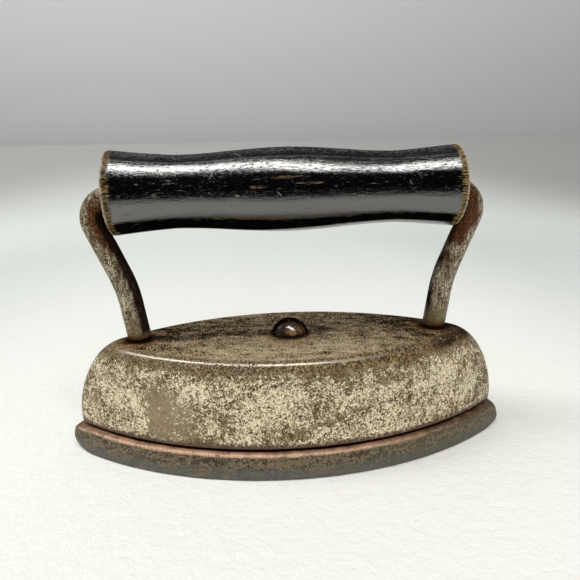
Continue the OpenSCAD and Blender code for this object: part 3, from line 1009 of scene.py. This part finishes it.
def arc(middle, r, first, last):
    """Points and directions along part of a circle, in the upright plane of the rod."""
    steps = max(2, round(abs(last - first) * r / rod_step))
    way = 1 if last > first else -1
    return [
        (Vector((middle[0] + r * cos(a), 0, middle[1] + r * sin(a))), way * Vector((-sin(a), 0, cos(a))))
        for a in spread(first, last, steps)
    ]


def straight(start, end):
    """Points and directions along a straight stretch, without its two ends."""
    steps = max(2, round((end - start).length / rod_step))
    return [(start.lerp(end, share), (end - start).normalized()) for share in spread(0, 1, steps)[1:-1]]


bow_r = (bow_half ** 2 + bow_rise ** 2) / (2 * bow_rise)
bow_lean = asin(bow_half / bow_r)
bow_z = axis_z + bow_rise / 2 - bow_r
crook_x = (bow_r - crook_r) * sin(bow_lean)
crook_z = bow_z + (bow_r - crook_r) * cos(bow_lean)
crook_way = Vector((crook_x - knee_x, crook_z - knee_z))
upper_lean = atan2(crook_way.x, crook_way.y) + asin(crook_r / crook_way.length)
knee_reach = knee_r * tan((upper_lean - lower_lean) / 2)
lower = Vector((knee_x - knee_reach * sin(lower_lean), 0, knee_z - knee_reach * cos(lower_lean)))
knee_middle = (lower.x + knee_r * cos(lower_lean), lower.z - knee_r * sin(lower_lean))
foot = Vector((lower.x - (lower.z - hood_top) * tan(lower_lean), 0, hood_top))
bow = arc((0, bow_z), bow_r, pi / 2, pi / 2 - bow_lean)
crook = arc((crook_x, crook_z), crook_r, pi / 2 - bow_lean, -upper_lean)
knee = arc(knee_middle, knee_r, pi - upper_lean, pi - lower_lean)
half_way = bow + crook[1:]
half_way += straight(crook[-1][0], knee[0][0]) + knee + straight(lower, foot)
whole_way = [(Vector((-p.x, 0, p.z)), Vector((t.x, 0, -t.z))) for p, t in half_way[:0:-1]] + half_way


def rod_ring(middle, way, r=rod_r):
    """A circle of points square to the rod."""
    out = Vector((way.z, 0, -way.x))
    return [middle + r * (sin(a) * out + Vector((0, cos(a), 0))) for a in spread(0, 2 * pi, rod_sides)[:-1]]


def foot_rings():
    """The rings of the right foot: the slanted stand, the shoulder, the tenon and the peened end."""
    way = Vector((-sin(lower_lean), 0, -cos(lower_lean)))
    stand = [p + way * ((p.z - hood_top) / cos(lower_lean)) for p in rod_ring(foot, way)]
    down = Vector((0, 0, -1))
    levels = [(hood_top, tenon_r), (liner_low.z, tenon_r), (liner_low.z, peen_r)]
    levels += [(liner_low.z - peen_h * 0.4, peen_r), (liner_low.z - peen_h, peen_r * peened_flat_share)]
    rings = [stand]
    for z, r in levels:
        rings.append(rod_ring(Vector((foot.x, 0, z)), down, r))
    rings.append(rod_ring(Vector((foot.x, 0, liner_low.z - peen_h)), down, peen_r * peened_flat_share / 3))
    return rings


def close_ends(bm):
    """Joins a piece laid as one tube, and closes the two ends of it."""
    weld(bm)
    bmesh.ops.holes_fill(bm, edges=[e for e in bm.edges if e.is_boundary], sides=0)
    weld(bm)


rod = bmesh.new()
right_foot = foot_rings()
body_rings = [rod_ring(p, t) for p, t in whole_way]
# The left foot mirrors the right one, with its points taken in the order that the rod's rings have.
left_foot = [[Vector((-p.x, p.y, p.z)) for p in ring] for ring in right_foot]
left_foot = [[ring[(rod_sides // 2 - i) % rod_sides] for i in range(rod_sides)] for ring in left_foot]
all_rings = left_foot[::-1] + body_rings + right_foot
lay_walls(rod, all_rings)
close_ends(rod)


def bare_rod(p):
    """Where the rod shows, between the grip and the hood."""
    return float(p.z > hood_top + foot_margin and abs(p.x) > grip_half)


weather(rod, 0.05 * mm, [0.9 * mm] * 3, bare_rod)
weather(rod, 0.05 * mm, [6 * mm] * 3, bare_rod)

rod_tan = (0.24, 0.185, 0.11)
rod_pale = (0.66, 0.58, 0.43)
rod_pit = (0.022, 0.011, 0.004)
rod_brown = (0.11, 0.065, 0.026)
# The next colour is near-black, painted shade and patina on the legs' inner sides and round the feet.
rod_patina_and_shade_black = (0.01, 0.005, 0.003)
rod_olive = (0.15, 0.11, 0.045)
rod_red = (0.16, 0.054, 0.01)
rod_rust = (0.05, 0.016, 0.005)
drawn = Finish("worn_rod")
pits = drawn.clouds(0.3, 3, 0.75, stretch=(1, 1, 1.5))
draw_lines = drawn.clouds(0.24, 3, 0.7, stretch=(1, 1, 14), shift=3)
tarnish = drawn.clouds(2.2, 5, 0.75, stretch=(1, 1, 2), shift=12)
# The right side of the rod is rustier than the left.
on_right = drawn.x.step(-5, 5)
pitted = pits.step(0.5, 0.56)
pitted *= on_right.level(0.92, 0.85)
inward = drawn.nx * drawn.sum("SIGN", drawn.x) * -1.0
inward = inward.ragged(tarnish, 0.35)
up_rod = drawn.z + inward * 3.5
high_up = up_rod.ragged(tarnish, 6).step(40.5, 45.5)
crook_face = inward + on_right * 0.2
crook_rust = high_up * crook_face.step(-0.45, 0.15)
foot_rust = drawn.z.ragged(pits, 0.8).step(25.9, 24.2)
rust_share = drawn.most(crook_rust, foot_rust)
rust_tone = drawn.coats(
    rod_red,
    (pits.step(0.38, 0.5), rod_rust),
    (on_right * 0.45, rod_rust),
    (draw_lines.step(0.6, 0.7), rod_brown),
)
foot_stain = drawn.z.ragged(tarnish, 4).step(31, 26)
foot_stain *= pits.step(0.4, 0.5).level(0.35, 0.95)
# Painted shade, partly dark patina: the sides of the legs that face inwards are made near-black.
inner_patina_and_shade = (inward - on_right * 0.4).step(0.27, 0.6)
inner_patina_and_shade *= drawn.z.step(24.5, on_right.level(26, 30))
# Painted shade: a black ring where each foot stands on the hood.
foot_shade_ring = drawn.z.step(24.45, 24.0)
rod_colour = drawn.coats(
    rod_tan,
    (draw_lines.step(0.38, 0.66), rod_pale),
    (tarnish.step(0.45, 0.62), rod_brown),
    (pitted, rod_pit),
    (foot_stain, rod_olive),
    (rust_share * 0.92, rust_tone),
    (inner_patina_and_shade * 0.95, rod_patina_and_shade_black),
    (foot_shade_ring, rod_patina_and_shade_black),
)
rod_wear = drawn.most(pitted, rust_share)
rod_dull = drawn.most(inner_patina_and_shade, rod_wear * 0.95)
bent_rod = make_piece(rod, "bent_rod", 45, drawn.lay(
    rod_colour,
    rod_wear.level(0.36, 0.62),
    draw_lines * 0.7 - pitted,
    0.035,
    Metallic=rod_dull.level(0.2, 0.0),
    Specular_IOR_Level=rod_dull.level(0.5, 0.0),
))
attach(bent_rod, "hood")
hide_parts("handle_rod")


# The spring clip, a bent strip of spring steel under the liner plate. Its two legs straddle the
# catch post and hold the hood down on the core by their grip.
clip_low, clip_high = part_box("spring_clip")
strip = 0.6 * mm
strip_half_w = 3 * mm
strip_ease = 0.6 * mm
strip_corner_r = 0.5 * mm
leg_x = post_half_x + 0.05 * mm + strip / 2
leg_spread = 1.1 * mm
leg_kick_share = 0.6
grip_z = pocket_z + 2.1 * mm
clip_top = clip_high.z - strip / 2
half_clip = [(leg_x + leg_spread, clip_top), (leg_x, grip_z)]
half_clip += [(leg_x + leg_spread * leg_kick_share, clip_low.z)]
clip_line = [Vector((-x, z)) for x, z in half_clip[::-1]] + [Vector(p) for p in half_clip]
eased = []
for i, corner in enumerate(clip_line):
    if i in (0, len(clip_line) - 1):
        eased.append(corner)
        continue
    before = corner + strip_ease * (clip_line[i - 1] - corner).normalized()
    after = corner + strip_ease * (clip_line[i + 1] - corner).normalized()
    eased += [before.lerp(corner, s).lerp(corner.lerp(after, s), s) for s in spread(0, 1, 8)]
lengths = [0.0]
for a, b in zip(eased, eased[1:]):
    lengths.append(lengths[-1] + (b - a).length)
strip_half_l = lengths[-1] / 2


def along_strip(distance):
    """The place and the upward direction at a distance along the strip from its middle."""
    at = min(max(distance + strip_half_l, 0), lengths[-1] - 1e-9)
    i = max(k for k, length in enumerate(lengths[:-1]) if length <= at)
    way = (eased[i + 1] - eased[i]).normalized()
    return eased[i] + way * (at - lengths[i]), Vector((-way.y, way.x))


def split_sides(ring, grain):
    """The same ring with points along its straight sides, so that they can follow a bend."""
    split = []
    for a, b in zip(ring, ring[1:] + ring[:1]):
        side = max(abs(b.x - a.x), abs(b.y - a.y))
        whole = 2 * (strip_half_l if abs(b.x - a.x) == side else strip_half_w)
        steps = round(whole / grain) if side > 2 * strip_corner_r else 1
        split += [a + (b - a) * (s / steps) for s in range(steps)]
    return split


clip = bmesh.new()
edge_r = 0.1 * mm
strip_grain = 0.45 * mm
strip_levels = [(edge_r, -strip / 2), (0, edge_r - strip / 2), (0, strip / 2 - edge_r), (edge_r, strip / 2)]
strip_rings = [
    split_sides(block_ring(strip_half_l - inset, strip_half_w - inset, strip_corner_r, z), strip_grain)
    for inset, z in strip_levels
]
lay_walls(clip, strip_rings)
for ring in (strip_rings[0], strip_rings[-1]):
    lay_plate(clip, ring, [round_ring(0, rivet_hole_r, ring[0].z)], strip_grain)
lay_walls(clip, [round_ring(0, rivet_hole_r, z) for z in (-strip / 2, strip / 2)])
weld(clip)
for v in clip.verts:
    middle, outwards = along_strip(v.co.x)
    v.co = Vector((middle.x + outwards.x * v.co.z, v.co.y, middle.y + outwards.y * v.co.z))

temper_blue = (0.11, 0.13, 0.19)
temper_straw = (0.2, 0.15, 0.1)
spring = Finish("blued_spring_steel")
temper = spring.clouds(3, 4, 0.6, stretch=(1, 2, 1))
hairlines = spring.clouds(0.2, 3, 0.6, stretch=(1, 10, 1), shift=5)
bent_clip = make_piece(clip, "bent_clip", 35, spring.lay(
    spring.stain(temper, 0.4, 0.62, temper_blue, temper_straw),
    hairlines.level(0.22, 0.42),
    hairlines,
    0.015,
    Metallic=0.95,
))
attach(bent_clip, "hood")
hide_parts("spring_clip")


# The hood rivet, a round-headed steel rivet through the hood, the board, the liner plate and the
# clip. Its tail is peened over under the clip, and its head has been worn smooth and dark.
head_r = 4 * mm
head_h = 3.2 * mm
shank_r = 1.5 * mm
tail_r = 2.5 * mm
tail_h = 0.9 * mm
seat_h = 0.8 * mm
rivet_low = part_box("hood_rivet")[0]
dome_r = (head_r ** 2 + head_h ** 2) / (2 * head_h)
dome_turn = asin(head_r / dome_r)
rivet = bmesh.new()
tail_top = rivet_low.z + tail_h
rivet_profile = [(tail_r * peened_flat_share / 2, rivet_low.z), (tail_r * peened_flat_share, rivet_low.z)]
rivet_profile += [(tail_r * 0.94, tail_top - tail_h * 0.4), (tail_r, tail_top - tail_h * 0.15)]
rivet_profile += [(tail_r, tail_top), (shank_r, tail_top), (shank_r, hood_top), (head_r * 0.97, hood_top)]
rivet_profile += [
    (dome_r * sin(a), hood_top + head_h - dome_r + dome_r * cos(a))
    for a in spread(dome_turn, 0, 24)[:-1]
]
lay_walls(rivet, [round_ring(0, r, z, 72) for r, z in rivet_profile])
close_ends(rivet)


def hammered_head(p):
    """The rivet's head, less so near the hood that it is drawn down on."""
    return min(1.0, max(0.0, (p.z - hood_top) / seat_h))


weather(rivet, 0.06 * mm, [2.2 * mm] * 3, hammered_head)

head_dark = (0.022, 0.011, 0.006)
head_brown = (0.08, 0.036, 0.015)
head_black = (0.005, 0.002, 0.0015)
head_warm_reflection = (0.26, 0.15, 0.055)
head_glint_pale = (0.22, 0.15, 0.1)
worn_head = Finish("dark_rivet_steel")
hammered = worn_head.clouds(0.8, 4, 0.65)
browned = worn_head.clouds(1.7, 4, 0.7, shift=6)
# Painted reflection: a warm brown patch low on the front of the head.
warm_front_reflection = worn_head.near((0.6, -3.6, 24.9), (2.5, 1.8, 1.2), 0.35)
warm_front_reflection *= hammered.step(0.42, 0.55)
edge_on = worn_head.pattern("LayerWeight", {"Blend": 0.5}, "Facing").step(0.26, 0.36)
rivet_colour = worn_head.coats(
    head_dark,
    (browned.step(0.4, 0.6), head_brown),
    # Painted shade: a black line round the foot of the head, where it sits on the hood.
    (worn_head.z.step(24.2, 23.85), head_black),
    (warm_front_reflection, head_warm_reflection),
    (worn_head.y.step(-2.4, -1.2), head_black),
    # Painted glints: pale specks on the hammered facets.
    (hammered.step(0.62, 0.7), head_glint_pale),
)
dome_rivet = make_piece(rivet, "dome_rivet", 40, worn_head.lay(
    rivet_colour,
    hammered.level(0.1, 0.26),
    hammered + worn_head.clouds(0.3, 3, 0.6, shift=2) * 0.5,
    0.02,
    IOR=2.0,
    Specular_IOR_Level=edge_on.level(0.6, 0.0),
))
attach(dome_rivet, "hood")
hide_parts("hood_rivet")


# The place it stands in, which isn't part of the object: a mat of white felt that rises gently
# behind the iron, a plain grey wall of card, three soft lights and the camera.
mat_half_w = 1.2
mat_front = -0.9
mat_rise_y = 0.3
mat_far_y = 0.62
mat_far_z = 0.094
wall_top = 0.9
felt_white = (0.9, 0.905, 0.86)
felt_shaded = (0.82, 0.85, 0.81)
felt_shaded_beside = (0.73, 0.76, 0.725)
felt_shaded_far = (0.47, 0.475, 0.46)


def lay_panel(bm, half_w, line):
    """A sheet to half_w on both sides, along a line of places given by their Y and Z."""
    for (y, z), (next_y, next_z) in zip(line, line[1:]):
        bm.faces.new([bm.verts.new(p) for p in (
            (-half_w, y, z), (half_w, y, z), (half_w, next_y, next_z), (-half_w, next_y, next_z),
        )])


mat = bmesh.new()
mat_line = [(mat_front, 0.0), (mat_rise_y, 0.0)]
mat_line += [
    (mat_rise_y + (mat_far_y - mat_rise_y) * s, mat_far_z * s * s) for s in spread(0, 1, 12)[1:]
]
lay_panel(mat, mat_half_w, mat_line)
weld(mat)
felt = Finish("white_felt")
# Painted shade: the felt is white close to the iron and painted greyer further away and off to its sides,
# where less light falls.
distance = felt.length(felt.place)
painted_shade_beside = felt.sum("ABSOLUTE", felt.x).step(65, 170)
painted_shade_beside *= distance.step(420, 260)
felt_colour = felt.coats(
    felt_white,
    (distance.step(60, 220), felt_shaded),
    (painted_shade_beside, felt_shaded_beside),
    (distance.step(440, 640), felt_shaded_far),
)
fluff = felt.clouds(2.5, 6, 0.7)
mat_piece = make_piece(mat, "mat", 60, felt.lay(felt_colour, 0.95, fluff, 0.5, Specular_IOR_Level=0.1))

wall_y = mat_far_y + 0.1
wall_foot = -0.1
wall_grey = (0.55, 0.55, 0.56)
wall_pale = (0.72, 0.72, 0.725)
wall = bmesh.new()
lay_panel(wall, mat_half_w * 2, [(wall_y, wall_foot), (wall_y, wall_top)])
card = Finish("grey_wall")
# Painted shade: the wall is painted darker towards its foot.
card_colour = card.stain(card.z, 90, 420, wall_grey, wall_pale)
wall_piece = make_piece(wall, "wall", 60, card.lay(card_colour, 0.9, card.clouds(40), 0.2))

# A black card in front, which only the gloss on the grip and the metal sees.
flag_y = -0.135
flag_top = 0.25
flag_half_w = 0.5
flag_black = (0.002, 0.002, 0.002)
flag_worn = (0.004, 0.004, 0.004)
flag = bmesh.new()
lay_panel(flag, flag_half_w, [(flag_y, 0.0), (flag_y, flag_top)])
black = Finish("black_card")
flag_colour = black.blend(black.clouds(30), flag_black, flag_worn)
flag_piece = make_piece(flag, "black_card", 60, black.lay(flag_colour, 1.0, black.clouds(20), 0.1))
for seen in ("camera", "diffuse", "shadow", "transmission", "volume_scatter"):
    setattr(flag_piece, "visible_" + seen, False)


def hang_light(name, place, aim, width, depth, watts, tint):
    """A flat soft light at a place, turned towards its aim."""
    data = bpy.data.lights.new(name, "AREA")
    data.shape = "RECTANGLE"
    data.size = width
    data.size_y = depth
    data.energy = watts
    data.color = tint
    light = bpy.data.objects.new(name, data)
    light.location = place
    light.rotation_mode = "QUATERNION"
    light.rotation_quaternion = (Vector(aim) - Vector(place)).to_track_quat("-Z", "Y")
    bpy.context.scene.collection.objects.link(light)
    return light


hang_light("key_light", (-0.12, -0.21, 0.85), (0, 0, 0.04), 1.2, 0.12, 5.4, (1, 0.985, 0.95))
hang_light("left_light", (-0.66, 0.08, 0.7), (0, 0, 0.03), 0.4, 0.4, 1.7, (0.96, 0.98, 1))
front_light = hang_light("front_light", (0.1, -0.9, 0.45), (0, 0, 0.02), 0.9, 0.5, 3.4, (1, 0.99, 0.96))
front_light.visible_glossy = False

world = bpy.data.worlds.new("room")
world.use_nodes = True
room = world.node_tree
backdrop = room.nodes["Background"]
backdrop.inputs["Color"].default_value = (0.78, 0.79, 0.8, 1)
backdrop.inputs["Strength"].default_value = 0.4
dim = room.nodes.new("ShaderNodeBackground")
dim.inputs["Color"].default_value = (0.7, 0.75, 0.8, 1)
dim.inputs["Strength"].default_value = 0.07
ray = room.nodes.new("ShaderNodeLightPath")
either = room.nodes.new("ShaderNodeMixShader")
room.links.new(ray.outputs["Is Glossy Ray"], either.inputs[0])
room.links.new(backdrop.outputs[0], either.inputs[1])
room.links.new(dim.outputs[0], either.inputs[2])
room.links.new(either.outputs[0], room.nodes["World Output"].inputs[0])
bpy.context.scene.world = world
bpy.context.scene.view_settings.view_transform = "Standard"

# The camera stands a little left of the iron, close to it and slightly above the grip.
view_yaw = radians(4.498)
view_drop = radians(13.273)
view_roll = radians(-1.255)
view_place = (-8.071 * mm, -105.535 * mm, 58.122 * mm)
picture_px = 580
focal_px = 512.144
sensor = 36.0
camera_data = bpy.data.cameras.new("camera")
camera_data.sensor_width = sensor
camera_data.lens = focal_px / picture_px * sensor
camera_data.shift_y = -1 / picture_px
camera_data.clip_start = 0.005
camera = bpy.data.objects.new("camera", camera_data)
camera.matrix_world = (
    Matrix.Translation(view_place)
    @ Matrix.Rotation(-view_yaw, 4, "Z")
    @ Matrix.Rotation(pi / 2 - view_drop, 4, "X")
    @ Matrix.Rotation(view_roll, 4, "Z")
)
bpy.context.scene.collection.objects.link(camera)
bpy.context.scene.camera = camera
